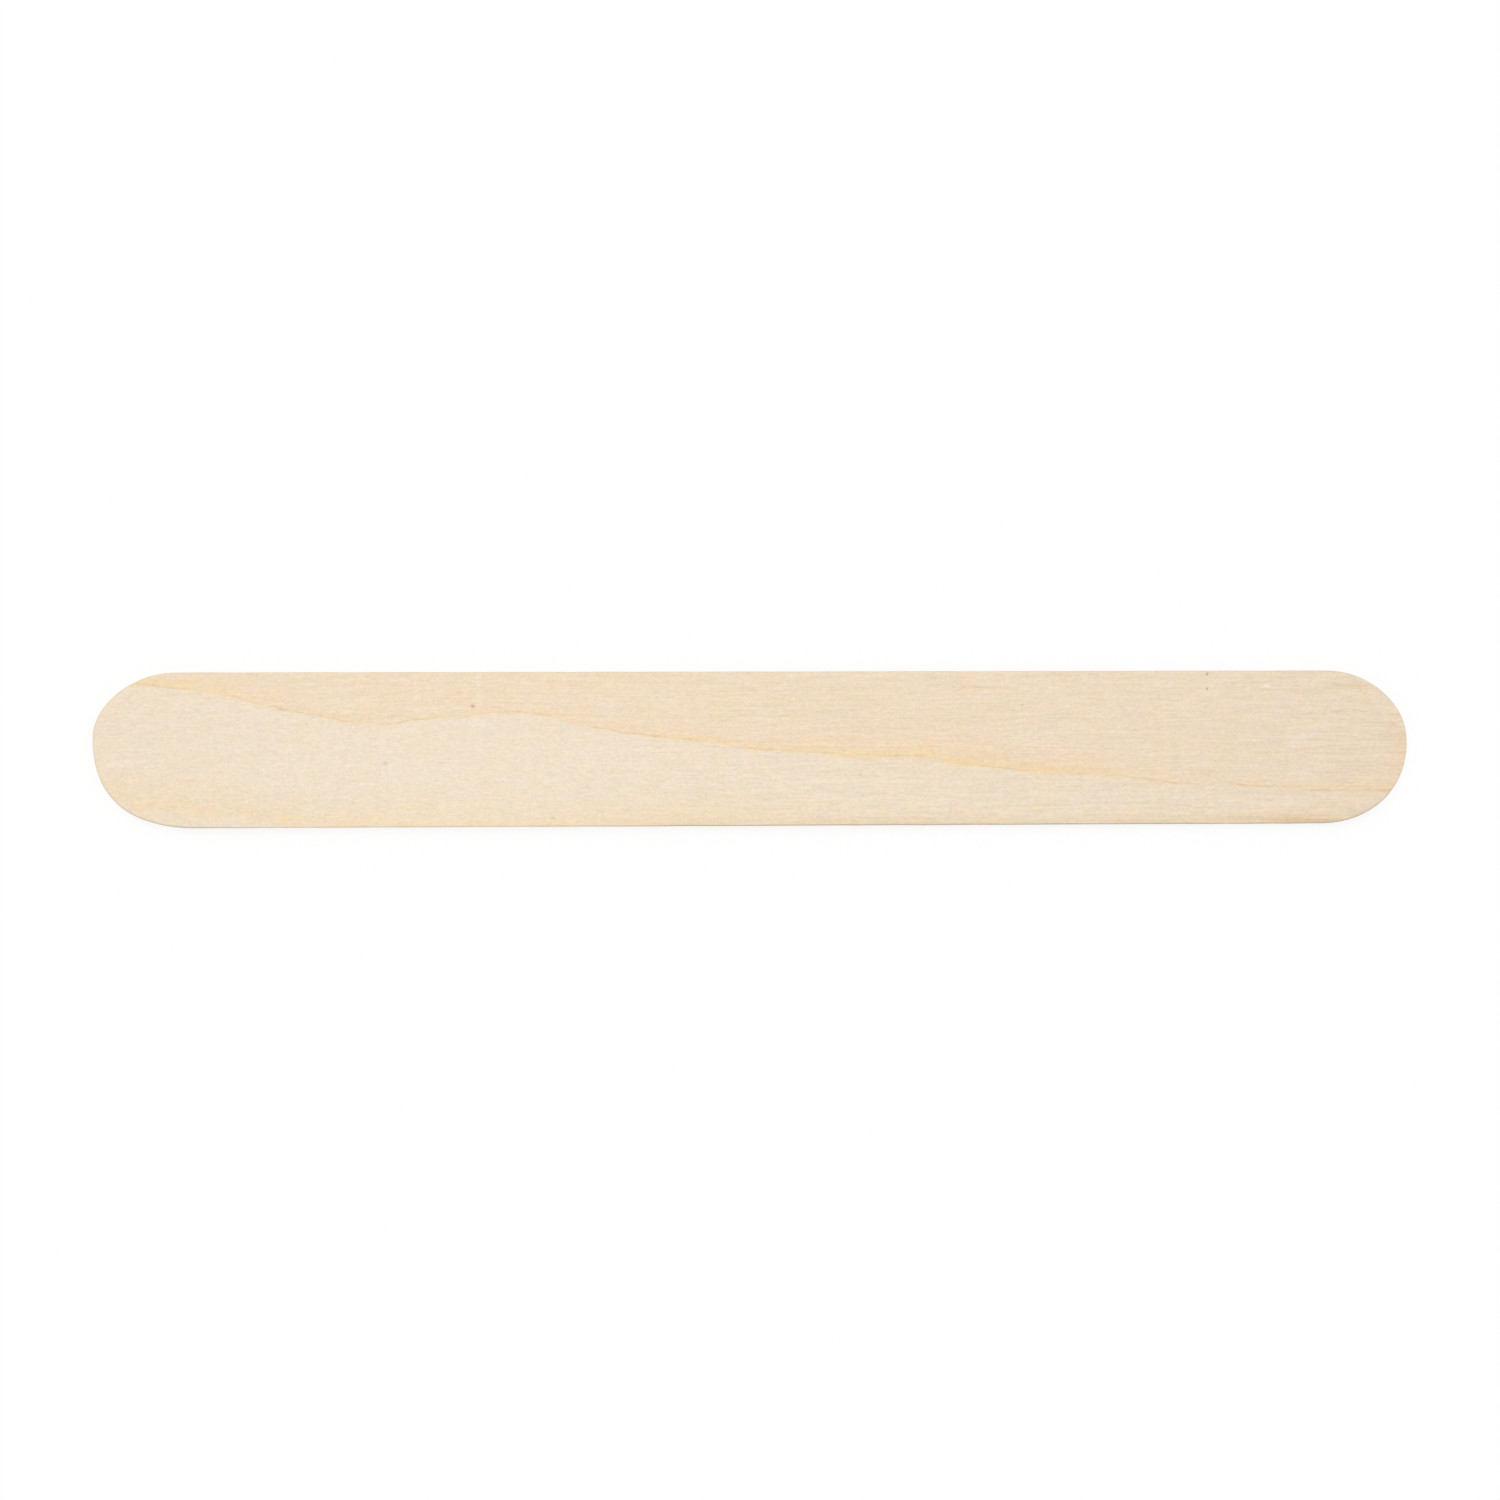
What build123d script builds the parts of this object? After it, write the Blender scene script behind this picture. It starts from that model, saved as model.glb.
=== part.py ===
"""A flat wooden tongue depressor, in millimetres.

The blade is one strip of thin birch veneer, punched to an outline with two rounded ends and tumbled
until its edges are eased. It lies on its lower face at Z = 0, with its length along X, its width
along Y and its thickness along Z. The origin is under the middle of the blade.
"""
from build123d import *
import os

# the blank
LENGTH = 152.4
WIDTH = 17.9
THICKNESS = 1.6

# the radius that tumbling leaves along both rims
EDGE_EASE = 0.22

# The punch sat a little off the strip's centre line, so each end's foremost point, its nose,
# stands off that line, and the rounding reaches further back along the lower edge than the upper.
# A fullness of 0.55 gives a quarter of an ellipse, and a larger one gives a squarer shoulder.
LEFT_NOSE_RISE = 1.4
LEFT_UPPER_REACH = 9.4
LEFT_LOWER_REACH = 12.0
LEFT_UPPER_FULLNESS = 0.51
LEFT_LOWER_FULLNESS = 0.66

RIGHT_NOSE_RISE = 0.8
RIGHT_UPPER_REACH = 9.5
RIGHT_LOWER_REACH = 10.6
RIGHT_UPPER_FULLNESS = 0.53
RIGHT_LOWER_FULLNESS = 0.61

END_X = LENGTH / 2
EDGE_Y = WIDTH / 2


def shoulder(side, edge_y, nose_rise, reach, fullness):
    """The four Bezier points of one rounded shoulder, from its long edge to the nose.

    side is -1 for the left end and 1 for the right end.
    """
    nose = (side * END_X, nose_rise)
    start = (side * (END_X - reach), edge_y)
    along_edge = (side * (END_X - reach + fullness * reach), edge_y)
    beside_nose = (side * END_X, nose_rise + fullness * (edge_y - nose_rise))
    return start, along_edge, beside_nose, nose


left_upper = shoulder(-1, EDGE_Y, LEFT_NOSE_RISE, LEFT_UPPER_REACH, LEFT_UPPER_FULLNESS)
left_lower = shoulder(-1, -EDGE_Y, LEFT_NOSE_RISE, LEFT_LOWER_REACH, LEFT_LOWER_FULLNESS)
right_upper = shoulder(1, EDGE_Y, RIGHT_NOSE_RISE, RIGHT_UPPER_REACH, RIGHT_UPPER_FULLNESS)
right_lower = shoulder(1, -EDGE_Y, RIGHT_NOSE_RISE, RIGHT_LOWER_REACH, RIGHT_LOWER_FULLNESS)

os.makedirs("parts", exist_ok=True)

with BuildPart() as blade:
    with BuildSketch(Plane.XY):
        with BuildLine():
            # the two long straight edges
            Line(left_upper[0], right_upper[0])
            Line(left_lower[0], right_lower[0])
            # the two rounded ends, each from two shoulders that meet at the nose
            for corner in (left_upper, left_lower, right_upper, right_lower):
                Bezier(*corner)
        make_face()
    extrude(amount=THICKNESS)
    # the tumbled rims of the upper and the lower face
    rims = blade.edges().filter_by(Plane.XY)
    fillet(rims, radius=EDGE_EASE)

blade.part.label = "blade"
export_step(blade.part, "parts/blade.step")
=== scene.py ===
"""The looks of a wooden tongue depressor, built around its CAD blade.

Blender's units are metres, with +X along the blade, +Y across it and +Z up. The wood's colours,
figure and grain are worked out in millimetres, because that is the scale at which they are seen.
"""
import math
from collections import namedtuple

import bpy
import numpy as np
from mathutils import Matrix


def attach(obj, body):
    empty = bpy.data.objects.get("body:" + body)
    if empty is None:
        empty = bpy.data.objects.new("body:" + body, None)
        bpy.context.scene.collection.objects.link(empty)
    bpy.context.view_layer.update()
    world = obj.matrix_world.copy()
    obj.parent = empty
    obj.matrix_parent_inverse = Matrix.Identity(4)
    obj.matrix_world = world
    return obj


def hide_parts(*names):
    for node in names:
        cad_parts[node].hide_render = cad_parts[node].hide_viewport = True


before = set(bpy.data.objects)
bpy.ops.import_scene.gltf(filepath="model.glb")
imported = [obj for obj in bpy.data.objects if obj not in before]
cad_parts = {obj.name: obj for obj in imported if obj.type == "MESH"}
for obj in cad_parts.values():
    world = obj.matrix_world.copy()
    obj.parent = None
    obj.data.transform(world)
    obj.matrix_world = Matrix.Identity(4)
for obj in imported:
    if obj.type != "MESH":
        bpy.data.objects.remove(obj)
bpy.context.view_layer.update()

MM = 0.001
NODE = "blade"
SLOT = "birch_wood"

# lengths under this count as none, and points that round alike count as one, in metres
SNAP = 1e-7
SNAP_DIGITS = 8

# The mesh's steps: around each rounded shoulder, along each long edge, across the upper and the lower
# face, over each eased rim, and down the wall between the rims.
SHOULDER_STEPS = 46
EDGE_STEPS = 290
UPPER_ROWS = 96
LOWER_ROWS = 64
RIM_STEPS = 5
WALL_STEPS = 6

# places worked out from each point of a shoulder to the next, before they are spaced evenly
PATH_SAMPLES = 60

# Relief that the knife and the tumbling drum left on the broad faces, in millimetres: its depth, and
# the length of its waves along and across the blade. It dies out over the blend, towards the rims.
FACE_WAVE = (0.012, 14, 5)
FACE_GRAIN = (0.008, 9, 0.7)
BORDER_BLEND = 0.6

# what the punch left, in millimetres: how far the outline wanders, and how deep the wall's relief is
OUTLINE_WANDER = 0.03
WALL_TEAR = 0.05
WALL_STRIATION = 0.018

# the most that a rim's easing loses, as a share of it
RIM_WANDER = 0.3

# The lattice of random heights: its squares a side, which go once around the wall, how often the
# scratches repeat it there, and how many squares the tears and the scratches cross for each
# millimetre down the wall.
LATTICE = 128
SCRATCH_REPEATS = 5
TEAR_SQUARES = 2
SCRATCH_SQUARES = 0.6

# which square the middle of a broad face lies on
LATTICE_MIDDLE = 20

# the seeds of the random heights, where a broad face also takes the next number, for its finer relief
OUTLINE_SEED = 1
UPPER_RIM_SEED = 2
LOWER_RIM_SEED = 3
TEAR_SEED = 4
SCRATCH_SEED = 5
UPPER_FACE_SEED = 10
LOWER_FACE_SEED = 20

# where each strip of the surface lies in the texture map: left, bottom, right, top
MAP_UPPER = (0.004, 0.60, 0.996, 0.996)
MAP_LOWER = (0.004, 0.27, 0.996, 0.592)
MAP_FAR_EDGE = (0.004, 0.185, 0.996, 0.262)
MAP_NEAR_EDGE = (0.004, 0.10, 0.996, 0.177)
MAP_LEFT_END = (0.004, 0.004, 0.496, 0.092)
MAP_RIGHT_END = (0.504, 0.004, 0.996, 0.092)


class Blade:
    """The blade's measures in metres, and the outline of its wall, all read from its CAD mesh."""

    def __init__(self, node):
        points = np.array([vertex.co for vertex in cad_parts[node].data.vertices])
        self.end_x = points[:, 0].max()
        self.edge_y = points[:, 1].max()
        self.thickness = points[:, 2].max()
        on_edge = np.abs(points[:, 1]) > self.edge_y - SNAP
        self.ease = self.thickness - points[on_edge, 2].max()
        height = points[:, 2]
        on_wall = (height > self.ease - SNAP) & (height < self.thickness - self.ease + SNAP)
        self.wall = np.unique(points[on_wall, :2].round(SNAP_DIGITS), axis=0)

    def shoulder(self, side, edge):
        """The wall's points round one shoulder, from the end of its long edge to the nose.

        side is -1 for the left end and 1 for the right end. edge is -1 for the near edge and 1 for the
        far edge.
        """
        nose = self.wall[np.argmax(side * self.wall[:, 0])]
        reach = side * self.wall[:, 0]
        on_edge = edge * self.wall[:, 1] > self.edge_y - SNAP
        start = reach[on_edge].max()
        chosen = (reach > start - SNAP) & (edge * (self.wall[:, 1] - nose[1]) > -SNAP)
        points = self.wall[chosen]
        return points[np.argsort(side * points[:, 0])]


def smooth_path(points, start_way, end_way, steps):
    """Points at even spaces along a smooth curve through the given ones, with set ways at its ends."""
    gaps = np.linalg.norm(np.diff(points, axis=0), axis=1)
    points = points[np.r_[True, gaps > SNAP]]
    gaps = np.linalg.norm(np.diff(points, axis=0), axis=1)[:, None]
    slopes = np.diff(points, axis=0) / gaps
    ways = np.empty_like(points)
    ways[1:-1] = (gaps[:-1] * slopes[1:] + gaps[1:] * slopes[:-1]) / (gaps[:-1] + gaps[1:])
    ways[0] = start_way
    ways[-1] = end_way
    share = np.linspace(0, 1, PATH_SAMPLES, endpoint=False)[:, None]
    dense = []
    for i in range(len(gaps)):
        dense.append(
            (2 * share**3 - 3 * share**2 + 1) * points[i]
            + (share**3 - 2 * share**2 + share) * gaps[i] * ways[i]
            + (3 * share**2 - 2 * share**3) * points[i + 1]
            + (share**3 - share**2) * gaps[i] * ways[i + 1]
        )
    dense = np.vstack(dense + [points[-1:]])
    run = np.r_[0, np.cumsum(np.linalg.norm(np.diff(dense, axis=0), axis=1))]
    wanted = np.linspace(0, run[-1], steps + 1)
    return np.stack([np.interp(wanted, run, dense[:, axis]) for axis in (0, 1)], axis=1)


def long_side(blade, edge):
    """The outline's points from the left nose to the right nose, along the far or the near edge."""
    left = smooth_path(blade.shoulder(-1, edge), (-1, 0), (0, -edge), SHOULDER_STEPS)[::-1]
    right = smooth_path(blade.shoulder(1, edge), (1, 0), (0, -edge), SHOULDER_STEPS)
    middle = np.linspace(left[-1], right[0], EDGE_STEPS + 1)
    return np.vstack([left, middle[1:-1], right])


def smooth_step(share):
    """A share from 0 to 1, made to start and end gently."""
    return share * share * (3 - 2 * share)


def smooth_noise(x, y, seed):
    """Random heights from 0 to 1 on a lattice of unit squares, which repeats, joined smoothly."""
    lattice = np.random.default_rng(seed).random((LATTICE, LATTICE))
    column = np.floor(x).astype(int)
    row = np.floor(y).astype(int)
    across = smooth_step(x - column)
    up = smooth_step(y - row)
    edges = []
    for line in (row, row + 1):
        left = lattice[column % LATTICE, line % LATTICE]
        right = lattice[(column + 1) % LATTICE, line % LATTICE]
        edges.append(left * (1 - across) + right * across)
    below, above = edges
    return below * (1 - up) + above * up


def eased(ease, share):
    """How far an eased rim lies from the wall and from its broad face.

    share goes from 0 at the broad face to 1 at the wall.
    """
    turn = math.pi / 2 * share
    return ease * (1 - math.sin(turn)), ease * (1 - math.cos(turn))


class BladeMesh:
    """Gathers the vertices, faces and texture places of the detailed blade."""

    def __init__(self, blade):
        self.blade = blade
        far = long_side(blade, 1)
        near = long_side(blade, -1)
        self.columns = len(far)
        self.outline = np.vstack([far, near[-2:0:-1]])
        self.around = len(self.outline)
        ahead = np.roll(self.outline, -1, axis=0) - np.roll(self.outline, 1, axis=0)
        outward = np.stack([-ahead[:, 1], ahead[:, 0]], axis=1)
        self.outward = outward / np.linalg.norm(outward, axis=1)[:, None]
        steps = np.linalg.norm(np.roll(self.outline, -1, axis=0) - self.outline, axis=1)
        self.run = np.r_[0, np.cumsum(steps)]
        self.vertices = []
        self.faces = []
        self.places = []
        self.count = 0

    def add_points(self, points):
        """Adds vertices and gives back their numbers."""
        numbers = np.arange(self.count, self.count + len(points))
        self.vertices.append(points)
        self.count += len(points)
        return numbers

    def add_faces(self, faces, places):
        """Adds faces, with the texture place of each of their corners."""
        self.faces.extend(faces.tolist())
        self.places.append(places.reshape(-1, 2))

    def ring(self, inset, height):
        """One loop of vertices, set in from the outline and at a height, both in metres."""
        flat = self.outline - self.outward * np.reshape(inset, (-1, 1))
        tall = np.broadcast_to(height, (self.around,))
        return np.column_stack([flat, tall])

    def section(self):
        """The rings of the wall from the upper face's border down to the lower face's border."""
        blade = self.blade
        around = LATTICE * self.run[:-1] / self.run[-1]
        wander = OUTLINE_WANDER * MM * smooth_noise(around, 0 * around, OUTLINE_SEED)
        upper_ease = blade.ease * (1 - RIM_WANDER * smooth_noise(around, 0 * around, UPPER_RIM_SEED))
        lower_ease = blade.ease * (1 - RIM_WANDER * smooth_noise(around, 0 * around, LOWER_RIM_SEED))
        rings = []
        for step in range(RIM_STEPS + 1):
            inset, down = eased(upper_ease, step / RIM_STEPS)
            rings.append(self.ring(wander + inset, blade.thickness - down))
        for step in range(1, WALL_STEPS):
            share = step / WALL_STEPS
            height = (1 - share) * (blade.thickness - upper_ease) + share * lower_ease
            level = height / MM
            depth = WALL_TEAR * math.sin(math.pi * share) ** 2
            torn = depth * smooth_noise(around, level * TEAR_SQUARES, TEAR_SEED)
            scratches = smooth_noise(around * SCRATCH_REPEATS, level * SCRATCH_SQUARES, SCRATCH_SEED)
            rings.append(self.ring(wander + (torn + WALL_STRIATION * scratches) * MM, height))
        for step in range(RIM_STEPS, -1, -1):
            inset, up = eased(lower_ease, step / RIM_STEPS)
            rings.append(self.ring(wander + inset, up))
        return rings

    def relief(self, x, y, seed):
        """How far the knife and the drum left a broad face below its highest level, in metres."""
        sunk = 0
        for number, (depth, length, width) in enumerate((FACE_WAVE, FACE_GRAIN)):
            along = x / MM / length + LATTICE_MIDDLE
            across = y / MM / width + LATTICE_MIDDLE
            sunk = sunk + depth * smooth_noise(along, across, seed + number)
        return sunk * MM

    def broad_face(self, border, rows, level, inward, map_box, seed):
        """Fills one broad face with a grid between the far and the near part of its border.

        inward is -1 for the upper face, whose relief goes down, and 1 for the lower face.
        """
        points = np.vstack(self.vertices)
        far = border[: self.columns]
        near = np.r_[border[0], border[: self.columns - 2: -1]]
        share = np.linspace(0, 1, rows + 1)[1:-1]
        low = points[near[1:-1], :2][:, None, :]
        high = points[far[1:-1], :2][:, None, :]
        inside = low + (high - low) * share[None, :, None]
        room = np.minimum(inside[:, :, 1] - low[:, :, 1], high[:, :, 1] - inside[:, :, 1])
        blend = np.clip(room / (BORDER_BLEND * MM), 0, 1)
        sunk = self.relief(inside[:, :, 0], inside[:, :, 1], seed) * blend
        grid = np.dstack([inside, level + inward * sunk])
        numbers = self.add_points(grid.reshape(-1, 3)).reshape(grid.shape[:2])
        numbers = np.column_stack([near[1:-1], numbers, far[1:-1]])
        quads = np.stack([numbers[:-1, :-1], numbers[1:, :-1], numbers[1:, 1:], numbers[:-1, 1:]], axis=2)
        left = np.column_stack([np.full(rows, far[0]), numbers[0, :-1], numbers[0, 1:]])
        right = np.column_stack([numbers[-1, :-1], np.full(rows, far[-1]), numbers[-1, 1:]])
        points = np.vstack(self.vertices)
        for faces in (quads.reshape(-1, 4), left, right):
            if inward > 0:
                faces = faces[:, ::-1]
            self.add_faces(faces, self.flat_places(points[faces, :2], map_box))

    def flat_places(self, flat, map_box):
        """Texture places of points on a broad face, which fills its strip of the map."""
        left, bottom, right, top = map_box
        across = (flat[..., 0] / self.blade.end_x + 1) / 2
        up = (flat[..., 1] / self.blade.edge_y + 1) / 2
        return np.stack([left + across * (right - left), bottom + up * (top - bottom)], axis=-1)

    def wall_strip(self, numbers, first, last, map_box):
        """Joins the wall's rings between two places on the outline, and gives them a strip of the map."""
        left, bottom, right, top = map_box
        chosen = np.arange(first, last + 1)
        run = self.run[chosen % self.around] + self.run[-1] * (chosen // self.around)
        across = left + (run - run[0]) / (run[-1] - run[0]) * (right - left)
        down = np.linspace(top, bottom, len(numbers))
        grid = numbers[:, chosen % self.around]
        places = np.dstack(np.meshgrid(across, down))
        corners = []
        spots = []
        for row, column in ((0, 0), (1, 0), (1, 1), (0, 1)):
            rows = slice(row, row + len(grid) - 1)
            columns = slice(column, column + len(chosen) - 1)
            corners.append(grid[rows, columns])
            spots.append(places[rows, columns])
        faces = np.stack(corners, axis=2).reshape(-1, 4)[:, ::-1]
        spots = np.stack(spots, axis=2).reshape(-1, 4, 2)[:, ::-1]
        self.add_faces(faces, spots)

    def build(self, name):
        """Makes the whole mesh, with values that say where the wall and its end grain are."""
        numbers = np.array([self.add_points(ring) for ring in self.section()])
        shoulder = SHOULDER_STEPS
        right_nose = self.columns - 1
        self.wall_strip(numbers, -shoulder, shoulder, MAP_LEFT_END)
        self.wall_strip(numbers, shoulder, right_nose - shoulder, MAP_FAR_EDGE)
        self.wall_strip(numbers, right_nose - shoulder, right_nose + shoulder, MAP_RIGHT_END)
        self.wall_strip(numbers, right_nose + shoulder, self.around - shoulder, MAP_NEAR_EDGE)
        self.broad_face(numbers[0], UPPER_ROWS, self.blade.thickness, -1, MAP_UPPER, UPPER_FACE_SEED)
        self.broad_face(numbers[-1], LOWER_ROWS, 0.0, 1, MAP_LOWER, LOWER_FACE_SEED)
        mesh = bpy.data.meshes.new(name)
        mesh.from_pydata(np.vstack(self.vertices).tolist(), [], self.faces)
        layer = mesh.uv_layers.new(name="OFBake")
        layer.uv.foreach_set("vector", np.vstack(self.places).astype(np.float32).ravel())
        self.store_wall(mesh, numbers)
        mesh.shade_smooth()
        mesh.validate()
        return mesh

    def store_wall(self, mesh, numbers):
        """Stores how much of each vertex is wall, and how much of that is end grain."""
        wall = np.zeros(self.count, np.float32)
        end = np.zeros(self.count, np.float32)
        last = len(numbers) - 1
        for place, ring in enumerate(numbers):
            from_border = min(place, last - place)
            wall[ring] = min(1, from_border / RIM_STEPS)
            end[ring] = np.abs(self.outward[:, 0])
        for name, values in (("wall", wall), ("end_grain", end)):
            attribute = mesh.attributes.new(name, "FLOAT", "POINT")
            attribute.data.foreach_set("value", values)


def screen(red, green, blue):
    """A screen colour from 0 to 255 as the linear colour that Blender works in, by the sRGB formula."""
    linear = []
    for value in (red, green, blue):
        value = value / 255
        linear.append(value / 12.92 if value <= 0.04045 else ((value + 0.055) / 1.055) ** 2.4)
    return (*linear, 1.0)


# A noise in the wood: the lengths of its marks along, across and through the blade, in millimetres,
# how much finer detail they have and how rough that is, and a shift that sets the noise apart.
Noise = namedtuple("Noise", ["lengths", "detail", "shift", "roughness"], defaults=[0.5])

# how far a shift goes along, across and through the blade, and what brings a noise to about -1 to 1
SHIFT_SHARES = (1, 0.7, 1.3)
NOISE_GAIN = 3.0


class Shader:
    """Adds nodes to a material of the blade and joins them. Lengths and places are in millimetres."""

    # the Mix node's sockets for colours, which share their names with those for other kinds of value
    FIRST_COLOUR = 6
    SECOND_COLOUR = 7
    MIXED_COLOUR = 2

    def __init__(self, material, blade):
        material.use_nodes = True
        self.tree = material.node_tree
        self.tree.nodes.clear()
        self.half_length = blade.end_x / MM
        self.half_width = blade.edge_y / MM
        self.depth = blade.thickness / MM
        scaled = self.add("VectorMath", operation="SCALE")
        self.feed(scaled.inputs[0], self.add("TexCoord").outputs["Object"])
        scaled.inputs["Scale"].default_value = 1 / MM
        self.place = scaled.outputs[0]
        split = self.add("SeparateXYZ")
        self.feed(split.inputs[0], self.place)
        self.x, self.y, self.z = split.outputs

    def add(self, kind, **settings):
        """A new node of a kind, with its settings."""
        node = self.tree.nodes.new("ShaderNode" + kind)
        for name, value in settings.items():
            setattr(node, name, value)
        return node

    def feed(self, socket, value):
        """Sets a socket, or links it when the value is another node's output."""
        if isinstance(value, bpy.types.NodeSocket):
            self.tree.links.new(value, socket)
        else:
            socket.default_value = value

    def calc(self, operation, *values, clamp=False):
        """The result of an operation on numbers."""
        node = self.add("Math", operation=operation, use_clamp=clamp)
        for socket, value in zip(node.inputs, values):
            self.feed(socket, value)
        return node.outputs[0]

    def vector(self, operation, *values):
        """The result of an operation on places or colours."""
        node = self.add("VectorMath", operation=operation)
        for socket, value in zip(node.inputs, values):
            self.feed(socket, value)
        return node.outputs[0]

    def mix(self, share, first, second):
        """A colour that goes from the first to the second as the share goes from 0 to 1."""
        node = self.add("Mix", data_type="RGBA")
        self.feed(node.inputs["Factor"], share)
        self.feed(node.inputs[self.FIRST_COLOUR], first)
        self.feed(node.inputs[self.SECOND_COLOUR], second)
        return node.outputs[self.MIXED_COLOUR]

    def ramp(self, value, low, high):
        """Goes smoothly from 0 to 1 while the value goes from low to high."""
        node = self.add("MapRange", interpolation_type="SMOOTHSTEP", clamp=True)
        for socket, given in zip(node.inputs, (value, low, high)):
            self.feed(socket, given)
        return node.outputs[0]

    def noise(self, noise):
        """The value of a noise, from about -1 to 1."""
        scaled = self.vector("DIVIDE", self.place, noise.lengths)
        moved = self.vector("ADD", scaled, [noise.shift * share for share in SHIFT_SHARES])
        node = self.add("TexNoise", noise_dimensions="3D")
        self.feed(node.inputs["Vector"], moved)
        node.inputs["Scale"].default_value = 1.0
        node.inputs["Detail"].default_value = noise.detail
        node.inputs["Roughness"].default_value = noise.roughness
        centred = self.calc("SUBTRACT", node.outputs[0], 0.5)
        return self.calc("MULTIPLY", centred, NOISE_GAIN)

    def along(self, points):
        """A smooth curve along the blade through points, given as places along it and their heights."""
        heights = [height for place, height in points]
        low = min(heights)
        span = max(heights) - low
        node = self.add("FloatCurve")
        curve = node.mapping.curves[0]
        node.mapping.extend = "HORIZONTAL"
        for number, (place, height) in enumerate(points):
            spot = ((place / self.half_length + 1) / 2, (height - low) / span)
            # a new curve already has its first two points
            if number < 2:
                curve.points[number].location = spot
            else:
                curve.points.new(*spot)
        node.mapping.update()
        share = self.calc("ADD", self.calc("DIVIDE", self.x, 2 * self.half_length), 0.5)
        self.feed(node.inputs["Value"], share)
        return self.calc("MULTIPLY_ADD", node.outputs[0], span, low)

    def tinted(self, colour, share, amounts):
        """The colour times one plus the share, in its own amount for red, green and blue."""
        factor = self.vector("MULTIPLY_ADD", share, amounts, (1.0, 1.0, 1.0))
        return self.vector("MULTIPLY", colour, factor)

    def stored(self, name):
        """A value that the mesh keeps for each vertex."""
        return self.add("Attribute", attribute_type="GEOMETRY", attribute_name=name).outputs["Fac"]


# The wood's colours, lighter and darker, as screen values from 0 to 255, and how far the blade goes to the
# darker
# ones along its length: slowly more towards the right end, and a little at the left end. This darkening is
# partly the wood's own browner tone and partly painted shade, where the light falls off towards the right
# end.
PALE_WOOD = ((239.5, 223, 200.5), (231, 212.5, 186))
WARM_WOOD = ((239.5, 219, 191), (231.5, 213, 188.5))
GOLD_WOOD = ((242, 215.5, 171), (237, 209.5, 163))
ROSE_WOOD = ((241.5, 214.5, 181), (236, 207.5, 172))
DARKENING_ALONG = [(-76.2, 0.27), (-60, 0.12), (-35, 0), (5, 0.22), (45, 0.55), (76.2, 1)]

# A growth ring. Its line is its boundary on the upper face, as places along and across the blade in
# millimetres. Above the line lies its late wood, which fades upwards over its width. The width and
# the strength are given along the blade. The late wood starts so many millimetres below the line,
# is frayed as much as its feather says, and fades faster with a higher power.
Ring = namedtuple("Ring", ["line", "width", "strength", "start", "feather", "power"])
MAIN_RING = Ring(
    line=[
        (-76.2, 7.9), (-66, 7), (-62, 6.5), (-55.4, 4.85), (-50, 3.9), (-45, 3), (-42, 2.95), (-39.8, 3.4),
        (-36, 3.65), (-28.5, 4.25), (-24.5, 4), (-21, 3), (-12, 1.5), (-5, 0.7), (1.5, -0.2), (7, -0.45),
        (11.5, -1.05), (18.5, -1.05), (23, -1.75), (28, -2.3), (33, -2.85), (40, -3.2), (45, -3.65),
        (49, -4.2), (54.5, -4.3), (60, -4.7), (67, -5.1), (76.2, -5.1),
    ],
    width=[
        (-76.2, 5), (-62, 4.2), (-54, 1.8), (-44, 1.4), (-25, 1.7), (-6, 2.2), (6, 3), (14, 4.6),
        (30, 4.4), (42, 3.2), (51, 2), (62, 3), (76.2, 5),
    ],
    strength=[
        (-76.2, 0.8), (-62, 0.75), (-53, 0.45), (-44, 0.42), (-33, 0.52), (-16, 0.62), (4, 0.75),
        (14, 0.9), (26, 0.97), (34, 0.9), (43, 0.65), (51, 0.3), (62, 0.35), (76.2, 0.8),
    ],
    start=0.42,
    feather=0.3,
    power=1.6,
)
# the ring before it, which leaves the blade over the near edge
NEAR_RING = Ring(
    line=[
        (-76.2, -4.6), (-73.9, -5.5), (-68.5, -6.8), (-64, -7.4), (-57.2, -8.1), (-50.3, -8.7),
        (-42, -9.1), (-30, -9.4), (0, -9.5), (76.2, -9.7),
    ],
    width=[(-76.2, 3.6), (-60, 4.2), (-50, 4.2), (-30, 5.4), (-10, 5.4), (20, 3), (76.2, 2.4)],
    strength=[
        (-76.2, 0.5), (-64, 0.52), (-54, 0.5), (-44, 0.5), (-20, 0.52), (0, 0.55), (76.2, 0.5),
    ],
    start=1.1,
    feather=0.5,
    power=1.1,
)

# how far the rings shift across the blade for each millimetre of depth
RING_DIP = 1.9

# the noises that bend and fray a ring's line, each with its reach in millimetres
LINE_BENDS = [
    (Noise((6.5, 60, 60), detail=2, shift=0), 0.12),
    (Noise((2.6, 0.32, 0.32), detail=1, shift=5), 0.2),
]

# Late wood: how far above the line it is full, as a share of how far below it starts, from where to
# where in its width its tone changes, and the noise that frays its upper side.
FULL_SHARE = 0.6
TONE_CHANGE = (0.06, 0.42)
BAND_FRAYS = Noise((6, 0.5, 0.5), detail=2, shift=17)

# from how far below the main ring's line to how far above it the ground turns warm, in millimetres
GROUND_CHANGE = (-0.35, 0.3)

# The thin line at the main ring's lower side: how far above the boundary its middle lies and how far
# it reaches each way, in millimetres, its tint, how plainly it shows along the blade, the noise that
# breaks it up, and over which values of the two together it comes in.
EDGE_MIDDLE = 0.06
EDGE_REACH = 0.15
EDGE_TINT = (-0.09, -0.125, -0.19)
EDGE_PLAINNESS = [(-76.2, 0.2), (-40, 0), (40, 0), (52, 0.35), (76.2, 0.45)]
EDGE_GAPS = Noise((3.5, 30, 30), detail=1, shift=29)
EDGE_PRESENCE = (-0.4, 0.4)


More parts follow.
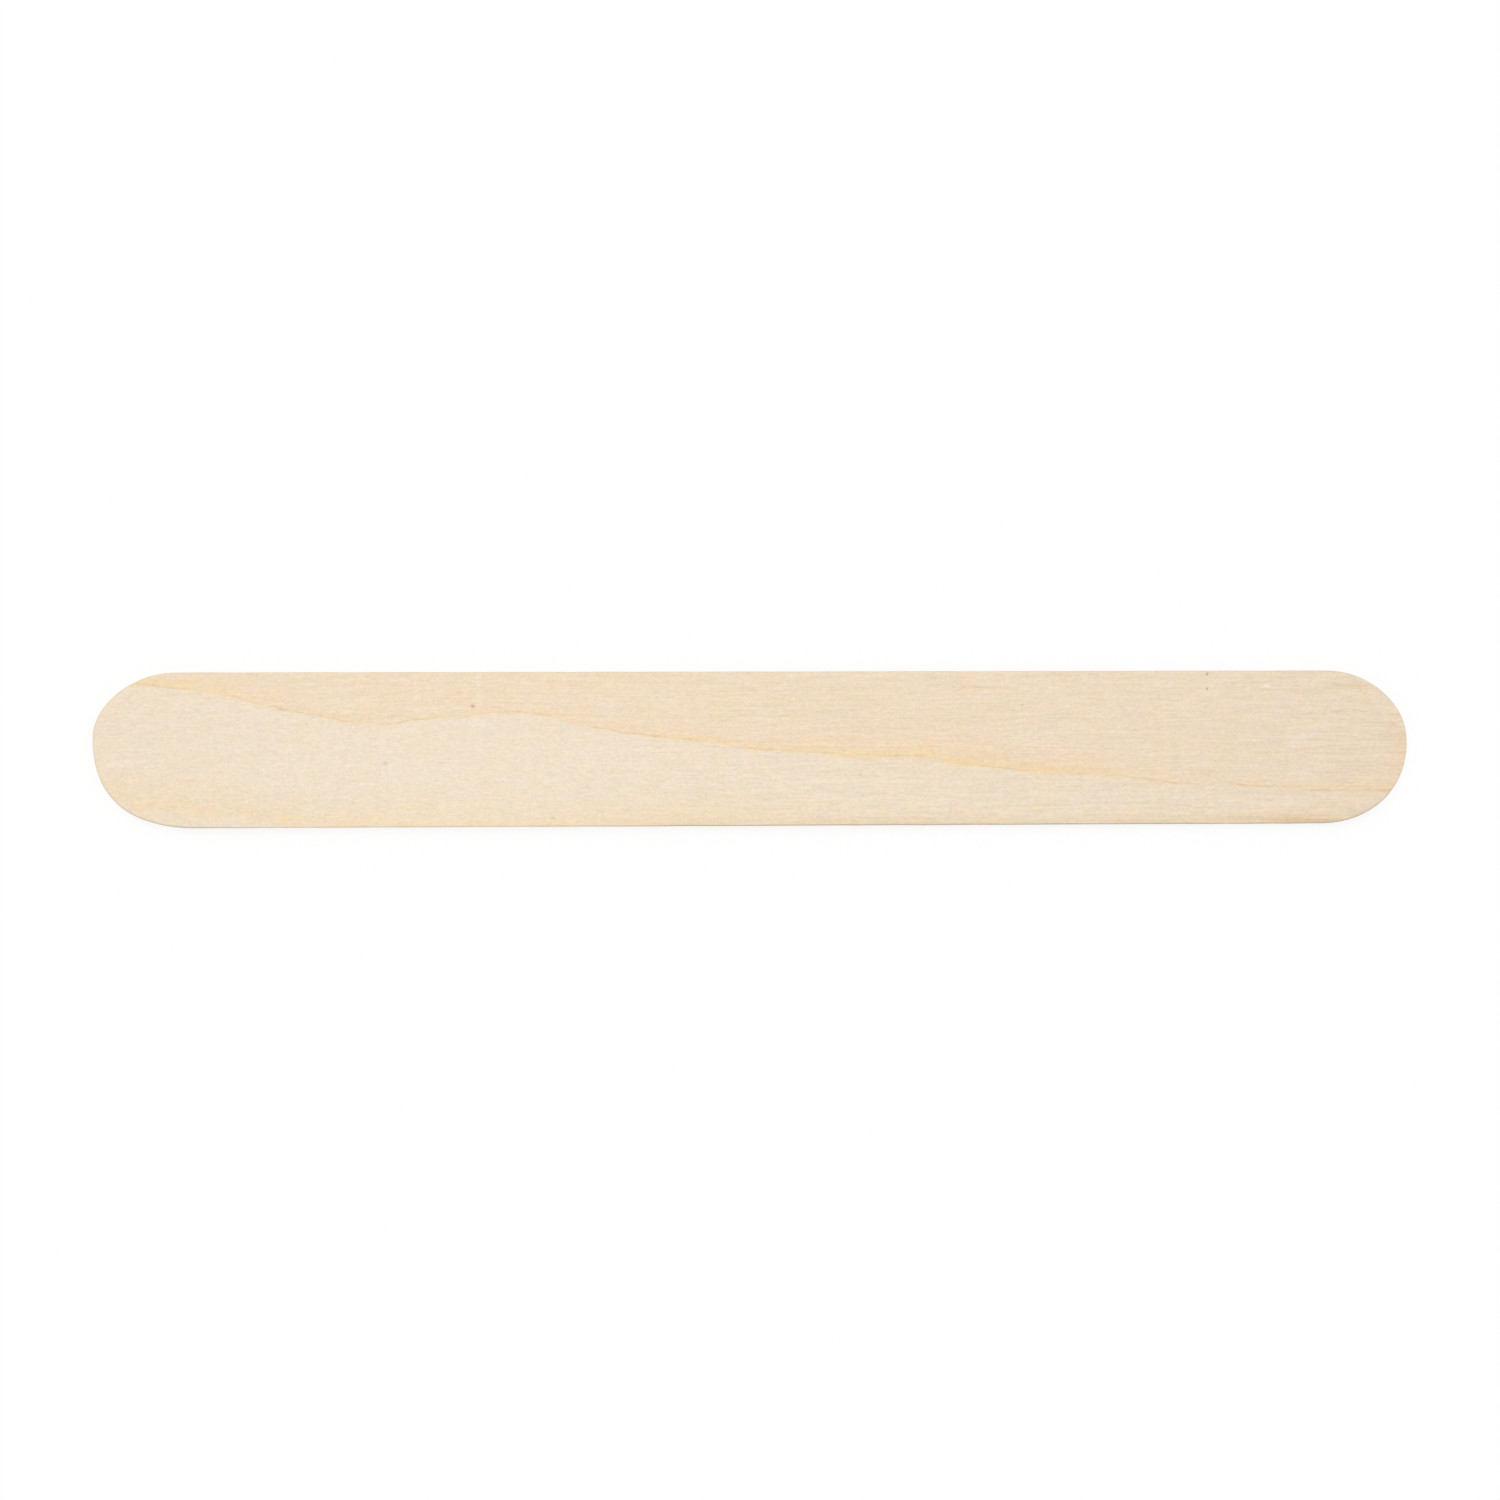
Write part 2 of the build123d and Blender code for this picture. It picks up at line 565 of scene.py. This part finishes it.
def ring_distance(shader, line):
    """How far a place lies above a ring's line, across the blade. The ring dips through the wood."""
    depth = shader.calc("SUBTRACT", shader.depth, shader.z)
    height = shader.calc("MULTIPLY_ADD", depth, RING_DIP, shader.y)
    level = shader.calc("SUBTRACT", height, shader.along(line))
    for noise, reach in LINE_BENDS:
        level = shader.calc("MULTIPLY_ADD", shader.noise(noise), reach, level)
    return level


def ring_band(shader, colour, low_tone, high_tone, distance, ring):
    """Lays a ring's late wood over a colour, in one tone by its line that turns to another above."""
    started = shader.ramp(distance, -ring.start, FULL_SHARE * ring.start)
    fade = shader.calc("DIVIDE", distance, shader.along(ring.width))
    tone = shader.mix(shader.ramp(fade, *TONE_CHANGE), low_tone, high_tone)
    fade = shader.calc("MULTIPLY_ADD", shader.noise(BAND_FRAYS), ring.feather, fade)
    fade = shader.calc("SUBTRACT", 1.0, fade, clamp=True)
    fade = shader.calc("POWER", fade, ring.power)
    share = shader.calc("MULTIPLY", started, fade)
    share = shader.calc("MULTIPLY", share, shader.along(ring.strength))
    return shader.mix(share, colour, tone)


def ring_edge(shader, colour, distance):
    """The thin dense line where the late wood stops, which comes and goes along the blade."""
    away = shader.calc("ABSOLUTE", shader.calc("SUBTRACT", distance, EDGE_MIDDLE))
    near = shader.ramp(shader.calc("DIVIDE", away, EDGE_REACH), 1.0, 0.0)
    present = shader.calc("ADD", shader.noise(EDGE_GAPS), shader.along(EDGE_PLAINNESS))
    share = shader.calc("MULTIPLY", near, shader.ramp(present, *EDGE_PRESENCE))
    return shader.tinted(colour, share, EDGE_TINT)


def birch_colour(shader):
    """The colour of the wood before its fine grain, and how much of the ground is late wood."""
    # darker towards the right end: partly the wood's own tone, partly painted shade of the light falling
    # off
    darkened = shader.along(DARKENING_ALONG)
    tones = []
    for lighter, darker in (PALE_WOOD, WARM_WOOD, GOLD_WOOD, ROSE_WOOD):
        tones.append(shader.mix(darkened, screen(*lighter), screen(*darker)))
    pale, warm, gold, rose = tones
    main = ring_distance(shader, MAIN_RING.line)
    near = ring_distance(shader, NEAR_RING.line)
    late = shader.ramp(main, *GROUND_CHANGE)
    colour = shader.mix(late, pale, warm)
    colour = ring_band(shader, colour, gold, gold, near, NEAR_RING)
    colour = ring_band(shader, colour, gold, rose, main, MAIN_RING)
    return ring_edge(shader, colour, main), late


# How plainly the long fibres show in the pale wood, along the blade, and in the late wood. The short
# marks are as plain everywhere.
PALE_FIBRES = [(-76.2, 0.4), (-60, 0.3), (-25, 0.35), (-8, 0.7), (6, 0.95), (45, 1), (66, 1.1), (76.2, 1.5)]
LATE_FIBRES = 0.7

# the noises of the long fibres, and how strong each is
FIBRES = Noise((22, 0.33, 0.33), detail=1, shift=0)
FIBRE_STRENGTH = 0.023
HAIRS = Noise((4.5, 0.22, 0.22), detail=0, shift=7)
HAIR_STRENGTH = 0.036
PORES = Noise((1.6, 0.16, 0.16), detail=0, shift=13)
PORE_STRENGTH = -0.05

# the values of its noise over which a pore comes in
PORE_PRESENCE = (0.4, 0.95)

# the short dashes and the fine speckle, each with its strength
SHORT_MARKS = [
    (Noise((1.1, 0.2, 0.2), detail=0, shift=19), 0.026),
    (Noise((0.35, 0.26, 0.26), detail=0, shift=11), 0.047),
]

# how strongly the grain acts on red, green and blue
GRAIN_TINT = (1.0, 1.08, 1.24)

# The slower changes of colour, each with its tint: yellow streaks, blushes, green and rose patches,
# broad clouds, and the faint chatter of the knife across the grain.
SLOW_CHANGES = [
    (Noise((10, 0.7, 0.7), detail=1, shift=23), (0.002, 0.005, 0.021)),
    (Noise((2, 1.3, 1.3), detail=0, shift=31), (0.007, -0.003, -0.036)),
    (Noise((1.4, 1.1, 1.1), detail=0, shift=37), (-0.01, 0.008, -0.01)),
    (Noise((7, 3, 3), detail=2, shift=47), (0.006, 0.008, 0.016)),
    (Noise((0.5, 14, 14), detail=1, shift=53), (0.003, 0.004, 0.006)),
]


def birch_grain(shader, colour, late):
    """The fibres and short marks, and the slower changes of colour. Also gives the fibres and hairs."""
    plainly = shader.calc("MAXIMUM", shader.along(PALE_FIBRES), shader.calc("MULTIPLY", late, LATE_FIBRES))
    fibre = shader.noise(FIBRES)
    hair = shader.noise(HAIRS)
    pore = shader.ramp(shader.noise(PORES), *PORE_PRESENCE)
    grain = shader.calc("MULTIPLY", fibre, FIBRE_STRENGTH)
    grain = shader.calc("MULTIPLY_ADD", hair, HAIR_STRENGTH, grain)
    grain = shader.calc("MULTIPLY_ADD", pore, PORE_STRENGTH, grain)
    grain = shader.calc("MULTIPLY", grain, plainly)
    for noise, strength in SHORT_MARKS:
        grain = shader.calc("MULTIPLY_ADD", shader.noise(noise), strength, grain)
    colour = shader.tinted(colour, grain, GRAIN_TINT)
    for noise, tint in SLOW_CHANGES:
        colour = shader.tinted(colour, shader.noise(noise), tint)
    return colour, fibre, hair


# how much a mark's middle multiplies the wood's red, green and blue
RED_SPECK = (0.72, 0.57, 0.46)
DARK_SPECK = (0.54, 0.49, 0.42)
FAINT_SPECK = (0.85, 0.81, 0.75)
BROWN_STREAK = (0.965, 0.91, 0.855)
DARK_STREAK = (0.9, 0.885, 0.885)
GOLD_STREAK = (0.99, 0.95, 0.87)
PALE_SCUFF = (1.027, 1.065, 1.145)
BRIGHT_SCUFF = (1.058, 1.1, 1.2)
DULL_PATCH = (0.93, 0.93, 0.93)
WARM_PATCH = (1, 0.965, 0.92)
TAN_PATCH = (0.975, 0.945, 0.89)
PALE_LINE = (1.01, 1.045, 1.11)
FAINT_LINE = (1.008, 1.022, 1.055)

# Marks on the upper face, in millimetres and degrees: the place along and across the blade, the
# length and the width at half of the mark's strength, and how far it is turned.
UPPER_MARKS = [
    (-32.8, 5, 0.46, 0.3, 0, RED_SPECK),
    (-42.8, -1.5, 0.32, 0.42, 0, FAINT_SPECK),
    (-23.6, -7.9, 0.42, 0.28, 0, FAINT_SPECK),
    (52.6, 8.55, 0.24, 0.28, 0, DARK_SPECK),
    (52.6, 6.8, 0.18, 0.26, 0, DARK_SPECK),
    (52.4, 4.75, 0.28, 0.3, 0, FAINT_SPECK),
    (30.9, 5, 0.3, 0.24, 0, FAINT_SPECK),
    (22.5, -7.2, 0.26, 0.7, 0, BROWN_STREAK),
    (68.8, 7.15, 3.4, 0.46, -3, BROWN_STREAK),
    (26.5, 7, 5, 0.36, 0, GOLD_STREAK),
    (27.3, 7.55, 5.5, 0.4, 0, FAINT_LINE),
    (28.2, 5.65, 4.5, 0.42, 0, FAINT_LINE),
    (-44, 3.6, 5, 0.26, 3, GOLD_STREAK),
    (59.5, 7.2, 1, 0.46, -12, BRIGHT_SCUFF),
    (57.4, 6.6, 0.7, 0.6, 0, PALE_LINE),
    (63.3, 0.9, 2.8, 1, 25, PALE_SCUFF),
    (-73.4, -1.65, 5, 0.5, 11, PALE_LINE),
    (62, -8.3, 13, 0.9, 0, BROWN_STREAK),
    (65, -8.6, 8, 0.5, 0, DARK_STREAK),
    (69.6, -7.5, 1.8, 0.8, -20, DULL_PATCH),
    (70.9, -7.7, 2.4, 0.8, 38, DULL_PATCH),
    (71.3, 6, 3.2, 0.9, -52, WARM_PATCH),
    (75.8, 0.5, 4.2, 10, 0, WARM_PATCH),
    (-71, -7.1, 2.8, 1.1, -42, TAN_PATCH),
    (-39.2, 6.6, 0.5, 4.4, 0, FAINT_LINE),
    (-32.1, 7, 0.42, 4.4, 0, PALE_SCUFF),
]
# the same for the lower face, which the photograph doesn't show
LOWER_MARKS = [
    (-48, -3.2, 0.4, 0.3, 0, FAINT_SPECK),
    (9.5, 6.1, 0.24, 0.3, 0, DARK_SPECK),
    (33, -1.4, 0.46, 0.3, 0, RED_SPECK),
    (58, 2.6, 0.3, 0.4, 0, FAINT_SPECK),
    (-20.5, 0, 0.7, 7, 0, FAINT_LINE),
    (-60, 4.5, 6, 0.4, 3, BROWN_STREAK),
    (24, 3.6, 9, 0.4, -1, GOLD_STREAK),
]
# how deep in the wood a mark ends, in millimetres
MARK_DEPTH = 0.5


def add_mark(shader, colour, height, mark):
    """Multiplies the colour by a mark's tint, in a soft oval on the broad face at the given height."""
    along, across, length, width, turn, tint = mark
    around = shader.add("Mapping", vector_type="TEXTURE")
    shader.feed(around.inputs["Vector"], shader.place)
    shader.feed(around.inputs["Location"], (along, across, height))
    shader.feed(around.inputs["Rotation"], (0.0, 0.0, math.radians(turn)))
    shader.feed(around.inputs["Scale"], (length, width, MARK_DEPTH))
    away = shader.add("VectorMath", operation="LENGTH")
    shader.feed(away.inputs[0], around.outputs[0])
    share = shader.ramp(away.outputs["Value"], 1.0, 0.0)
    change = [value - 1 for value in tint]
    return shader.tinted(colour, share, change)


# The long edges: fine streaks and tears along the fibres, each with its tint, the values of its noise
# over which a tear comes in, and the shade of the whole.
WALL_STREAKS = Noise((4, 4, 0.13), detail=3, shift=61, roughness=0.6)
WALL_STREAK_TINT = (0.1, 0.12, 0.14)
WALL_TEARS = Noise((1.3, 1.3, 0.2), detail=2, shift=63)
WALL_TEAR_TINT = (-0.14, -0.18, -0.22)
TEAR_PRESENCE = (0.45, 1.0)
LONG_EDGE_SHADE = (0.945, 0.935, 0.91)

# the two ends: the open pores, their tint, the shade of the whole, and over which shares of end grain
# a long edge turns into an end
END_PORES = Noise((0.4, 0.16, 0.14), detail=2, shift=67, roughness=0.6)
END_PORE_TINT = (0.17, 0.2, 0.23)
END_SHADE = (0.93, 0.89, 0.83)
END_CHANGE = (0.1, 0.8)

# the share of wall at which its look is full
WALL_FULL = 0.7

# Painted shade along the near edge's upper rim, where the eased rim turns from the light, and partly a
# stain that
# the punch pressed in: how strong it is along the blade, and how far below the upper face it starts and is
# full, in millimetres.
RIM_SHADE_AND_STAIN = [(-76.2, 0.5), (-66, 0.45), (-52, 0.1), (-26, 0.1), (-10, 0.85), (40, 0.9), (76.2, 0.9)]
RIM_SHADE_DEPTHS = (0.5, 0.1)

# its dark line, painted shade on the rim: where across the blade it starts and is full, the share of wall
# at which it is full, and its tint
RIM_SHADE_SIDE = (-1.0, -7.5)
RIM_SHADE_FULL = 0.6
RIM_SHADE_TINT = (-0.315, -0.315, -0.3)

# the painted shade beside it: how far in from the near edge it starts and is full, and its tint
BESIDE_REACH = (1.5, 0.4)
BESIDE_SHADE_TINT = (-0.048, -0.05, -0.04)


def cut_edge(shader, colour, wall, end):
    """The wall that the punch left, darkest where it crosses the fibres. Also gives its noises."""
    streak = shader.noise(WALL_STREAKS)
    tear = shader.ramp(shader.noise(WALL_TEARS), *TEAR_PRESENCE)
    pore = shader.noise(END_PORES)
    long_edge = shader.tinted(colour, streak, WALL_STREAK_TINT)
    long_edge = shader.tinted(long_edge, tear, WALL_TEAR_TINT)
    long_edge = shader.vector("MULTIPLY", long_edge, LONG_EDGE_SHADE)
    end_edge = shader.tinted(colour, pore, END_PORE_TINT)
    end_edge = shader.vector("MULTIPLY", end_edge, END_SHADE)
    cut = shader.mix(shader.ramp(end, *END_CHANGE), long_edge, end_edge)
    return shader.mix(shader.ramp(wall, 0.0, WALL_FULL), colour, cut), streak, pore


def painted_rim_shade(shader, colour, wall):
    """Painted shade on the near edge's upper rim, partly a stain that the punch pressed in, and painted
    shade beside it.
    """
    plain = shader.along(RIM_SHADE_AND_STAIN)
    high = shader.ramp(shader.z, *[shader.depth - down for down in RIM_SHADE_DEPTHS])
    beside = shader.ramp(shader.y, *[inward - shader.half_width for inward in BESIDE_REACH])
    beside = shader.calc("MULTIPLY", shader.calc("MULTIPLY", beside, high), plain)
    colour = shader.tinted(colour, beside, BESIDE_SHADE_TINT)
    line = shader.calc("MULTIPLY", shader.ramp(shader.y, *RIM_SHADE_SIDE), shader.ramp(wall, 0.0, RIM_SHADE_FULL))
    line = shader.calc("MULTIPLY", shader.calc("MULTIPLY", line, high), plain)
    return shader.tinted(colour, line, RIM_SHADE_TINT)


# the surface: how much it shines, how rough it is, and what a fibre and the wall add to that
SPECULAR_LEVEL = 0.35
ROUGHNESS = 0.56
FIBRE_ROUGHNESS = 0.04
WALL_ROUGHNESS = 0.2

# the bump, in millimetres, and how much of it hairs, the wall's streaks and the whole wall have
BUMP_DEPTH = 0.003
HAIR_BUMP = 0.5
STREAK_BUMP = 2.0
WALL_BUMP = 2.0


def birch_material(blade):
    """Bare birch, with its rings, grain and cut edges worked out through the solid."""
    material = bpy.data.materials.new(SLOT)
    shader = Shader(material, blade)
    wall = shader.stored("wall")
    end = shader.stored("end_grain")
    colour, late = birch_colour(shader)
    colour, fibre, hair = birch_grain(shader, colour, late)
    for height, marks in ((shader.depth, UPPER_MARKS), (0.0, LOWER_MARKS)):
        for mark in marks:
            colour = add_mark(shader, colour, height, mark)
    colour, streak, pore = cut_edge(shader, colour, wall, end)
    # painted shade along the near edge's upper rim and beside it, partly a pressed stain
    colour = painted_rim_shade(shader, colour, wall)
    surface = shader.add("BsdfPrincipled")
    shader.feed(surface.inputs["Base Color"], colour)
    surface.inputs["Specular IOR Level"].default_value = SPECULAR_LEVEL
    dull = shader.calc("MULTIPLY_ADD", fibre, FIBRE_ROUGHNESS, ROUGHNESS)
    rough = shader.calc("MULTIPLY_ADD", wall, WALL_ROUGHNESS, dull)
    shader.feed(surface.inputs["Roughness"], rough)
    face_height = shader.calc("MULTIPLY_ADD", hair, HAIR_BUMP, fibre)
    wall_height = shader.calc("MULTIPLY_ADD", streak, STREAK_BUMP, pore)
    wall_height = shader.calc("MULTIPLY", wall_height, wall)
    height = shader.calc("MULTIPLY_ADD", wall_height, WALL_BUMP, face_height)
    bump = shader.add("Bump")
    bump.inputs["Strength"].default_value = 1.0
    bump.inputs["Distance"].default_value = BUMP_DEPTH * MM
    shader.feed(bump.inputs["Height"], height)
    shader.feed(surface.inputs["Normal"], bump.outputs[0])
    output = shader.add("OutputMaterial")
    shader.feed(output.inputs["Surface"], surface.outputs[0])
    return material


def make_blade(blade):
    """The detailed blade, which stands in for the CAD one."""
    piece = bpy.data.objects.new("wooden_blade", BladeMesh(blade).build("wooden_blade"))
    bpy.context.scene.collection.objects.link(piece)
    piece.data.materials.append(birch_material(blade))
    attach(piece, "root")
    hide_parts(NODE)


WHITE = (1, 1, 1, 1)
WHITE_STRENGTH = 1.0

# The floor: its side in metres, its shade where it throws light back on the blade, and how much of its
# white, as the camera sees it, is real paper that takes a shadow.
FLOOR_SIZE = 6.0
FLOOR_SHADE = (0.8, 0.8, 0.8, 1)
SHADOW_SHARE = 0.2


def seen_directly(tree):
    """Is 1 on rays from the camera, or by way of a mirror or glass, and 0 on the rays that light things."""
    path = tree.nodes.new("ShaderNodeLightPath")
    total = path.outputs["Is Camera Ray"]
    for name in ("Is Glossy Ray", "Is Transmission Ray"):
        node = tree.nodes.new("ShaderNodeMath")
        node.operation = "MAXIMUM"
        tree.links.new(total, node.inputs[0])
        tree.links.new(path.outputs[name], node.inputs[1])
        total = node.outputs[0]
    return total


def make_floor():
    """A white floor that keeps the blade's soft shadow, and looks nearly as white under it."""
    half = FLOOR_SIZE / 2
    corners = [(-half, -half, 0), (half, -half, 0), (half, half, 0), (-half, half, 0)]
    mesh = bpy.data.meshes.new("floor")
    mesh.from_pydata(corners, [], [(0, 1, 2, 3)])
    floor = bpy.data.objects.new("floor", mesh)
    bpy.context.scene.collection.objects.link(floor)
    material = bpy.data.materials.new("white_floor")
    material.use_nodes = True
    tree = material.node_tree
    tree.nodes.clear()
    paper = tree.nodes.new("ShaderNodeBsdfDiffuse")
    paper.inputs["Color"].default_value = FLOOR_SHADE
    shaded = tree.nodes.new("ShaderNodeBsdfDiffuse")
    shaded.inputs["Color"].default_value = WHITE
    bright = tree.nodes.new("ShaderNodeEmission")
    bright.inputs["Strength"].default_value = WHITE_STRENGTH
    seen = tree.nodes.new("ShaderNodeMixShader")
    seen.inputs["Fac"].default_value = SHADOW_SHARE
    tree.links.new(bright.outputs[0], seen.inputs[1])
    tree.links.new(shaded.outputs[0], seen.inputs[2])
    floor_look = tree.nodes.new("ShaderNodeMixShader")
    tree.links.new(seen_directly(tree), floor_look.inputs["Fac"])
    tree.links.new(paper.outputs[0], floor_look.inputs[1])
    tree.links.new(seen.outputs[0], floor_look.inputs[2])
    output = tree.nodes.new("ShaderNodeOutputMaterial")
    tree.links.new(floor_look.outputs[0], output.inputs["Surface"])
    mesh.materials.append(material)


# the light from all round and the lamp's light, as shares of what shows white as white
FILL_LEVEL = 0.65
KEY_LEVEL = 0.35

# The lamp: how high it stands, which way it lies from +X towards +Y, and how wide it looks.
KEY_HEIGHT_DEG = 70.0
KEY_FROM_DEG = 112.0
KEY_SOFTNESS_DEG = 50.0


def make_light():
    """Even light from all round, and one soft lamp from beyond the far edge."""
    world = bpy.data.worlds.new("studio")
    bpy.context.scene.world = world
    world.use_nodes = True
    tree = world.node_tree
    background = tree.nodes["Background"]
    background.inputs["Color"].default_value = WHITE
    strength = tree.nodes.new("ShaderNodeMapRange")
    strength.inputs["To Min"].default_value = FILL_LEVEL
    strength.inputs["To Max"].default_value = WHITE_STRENGTH
    tree.links.new(seen_directly(tree), strength.inputs["Value"])
    tree.links.new(strength.outputs[0], background.inputs["Strength"])
    height = math.radians(KEY_HEIGHT_DEG)
    lamp = bpy.data.lights.new("key", "SUN")
    lamp.energy = KEY_LEVEL * math.pi / math.sin(height)
    lamp.angle = math.radians(KEY_SOFTNESS_DEG)
    key = bpy.data.objects.new("key", lamp)
    bpy.context.scene.collection.objects.link(key)
    key.rotation_euler = (0, math.pi / 2 - height, math.radians(KEY_FROM_DEG))


# The camera: its lens and sensor in millimetres, how near it can see and how far away it stands in
# metres, its lean towards the blade's left end, its roll, and the place that it looks at.
CAMERA_LENS = 60.0
CAMERA_SENSOR = 36.0
CAMERA_CLIP_START = 0.01
CAMERA_DISTANCE = 289.45 * MM
CAMERA_LEAN_DEG = 2.5
CAMERA_ROLL_DEG = -0.18
CAMERA_AIM_X = -0.83 * MM
CAMERA_AIM_Y = -0.11 * MM


def make_camera(blade):
    """Looks down on the blade, leaning a little towards its left end."""
    lean = math.radians(CAMERA_LEAN_DEG)
    roll = math.radians(CAMERA_ROLL_DEG)
    data = bpy.data.cameras.new("camera")
    data.lens = CAMERA_LENS
    data.sensor_width = CAMERA_SENSOR
    data.clip_start = CAMERA_CLIP_START
    camera = bpy.data.objects.new("camera", data)
    bpy.context.scene.collection.objects.link(camera)
    camera.rotation_mode = "YXZ"
    camera.rotation_euler = (0, -lean, roll)
    camera.location = (
        CAMERA_AIM_X - CAMERA_DISTANCE * math.sin(lean),
        CAMERA_AIM_Y,
        blade.thickness + CAMERA_DISTANCE * math.cos(lean),
    )
    bpy.context.scene.camera = camera


cad_blade = Blade(NODE)
make_camera(cad_blade)
make_blade(cad_blade)
make_floor()
make_light()
bpy.context.scene.view_settings.view_transform = "Standard"
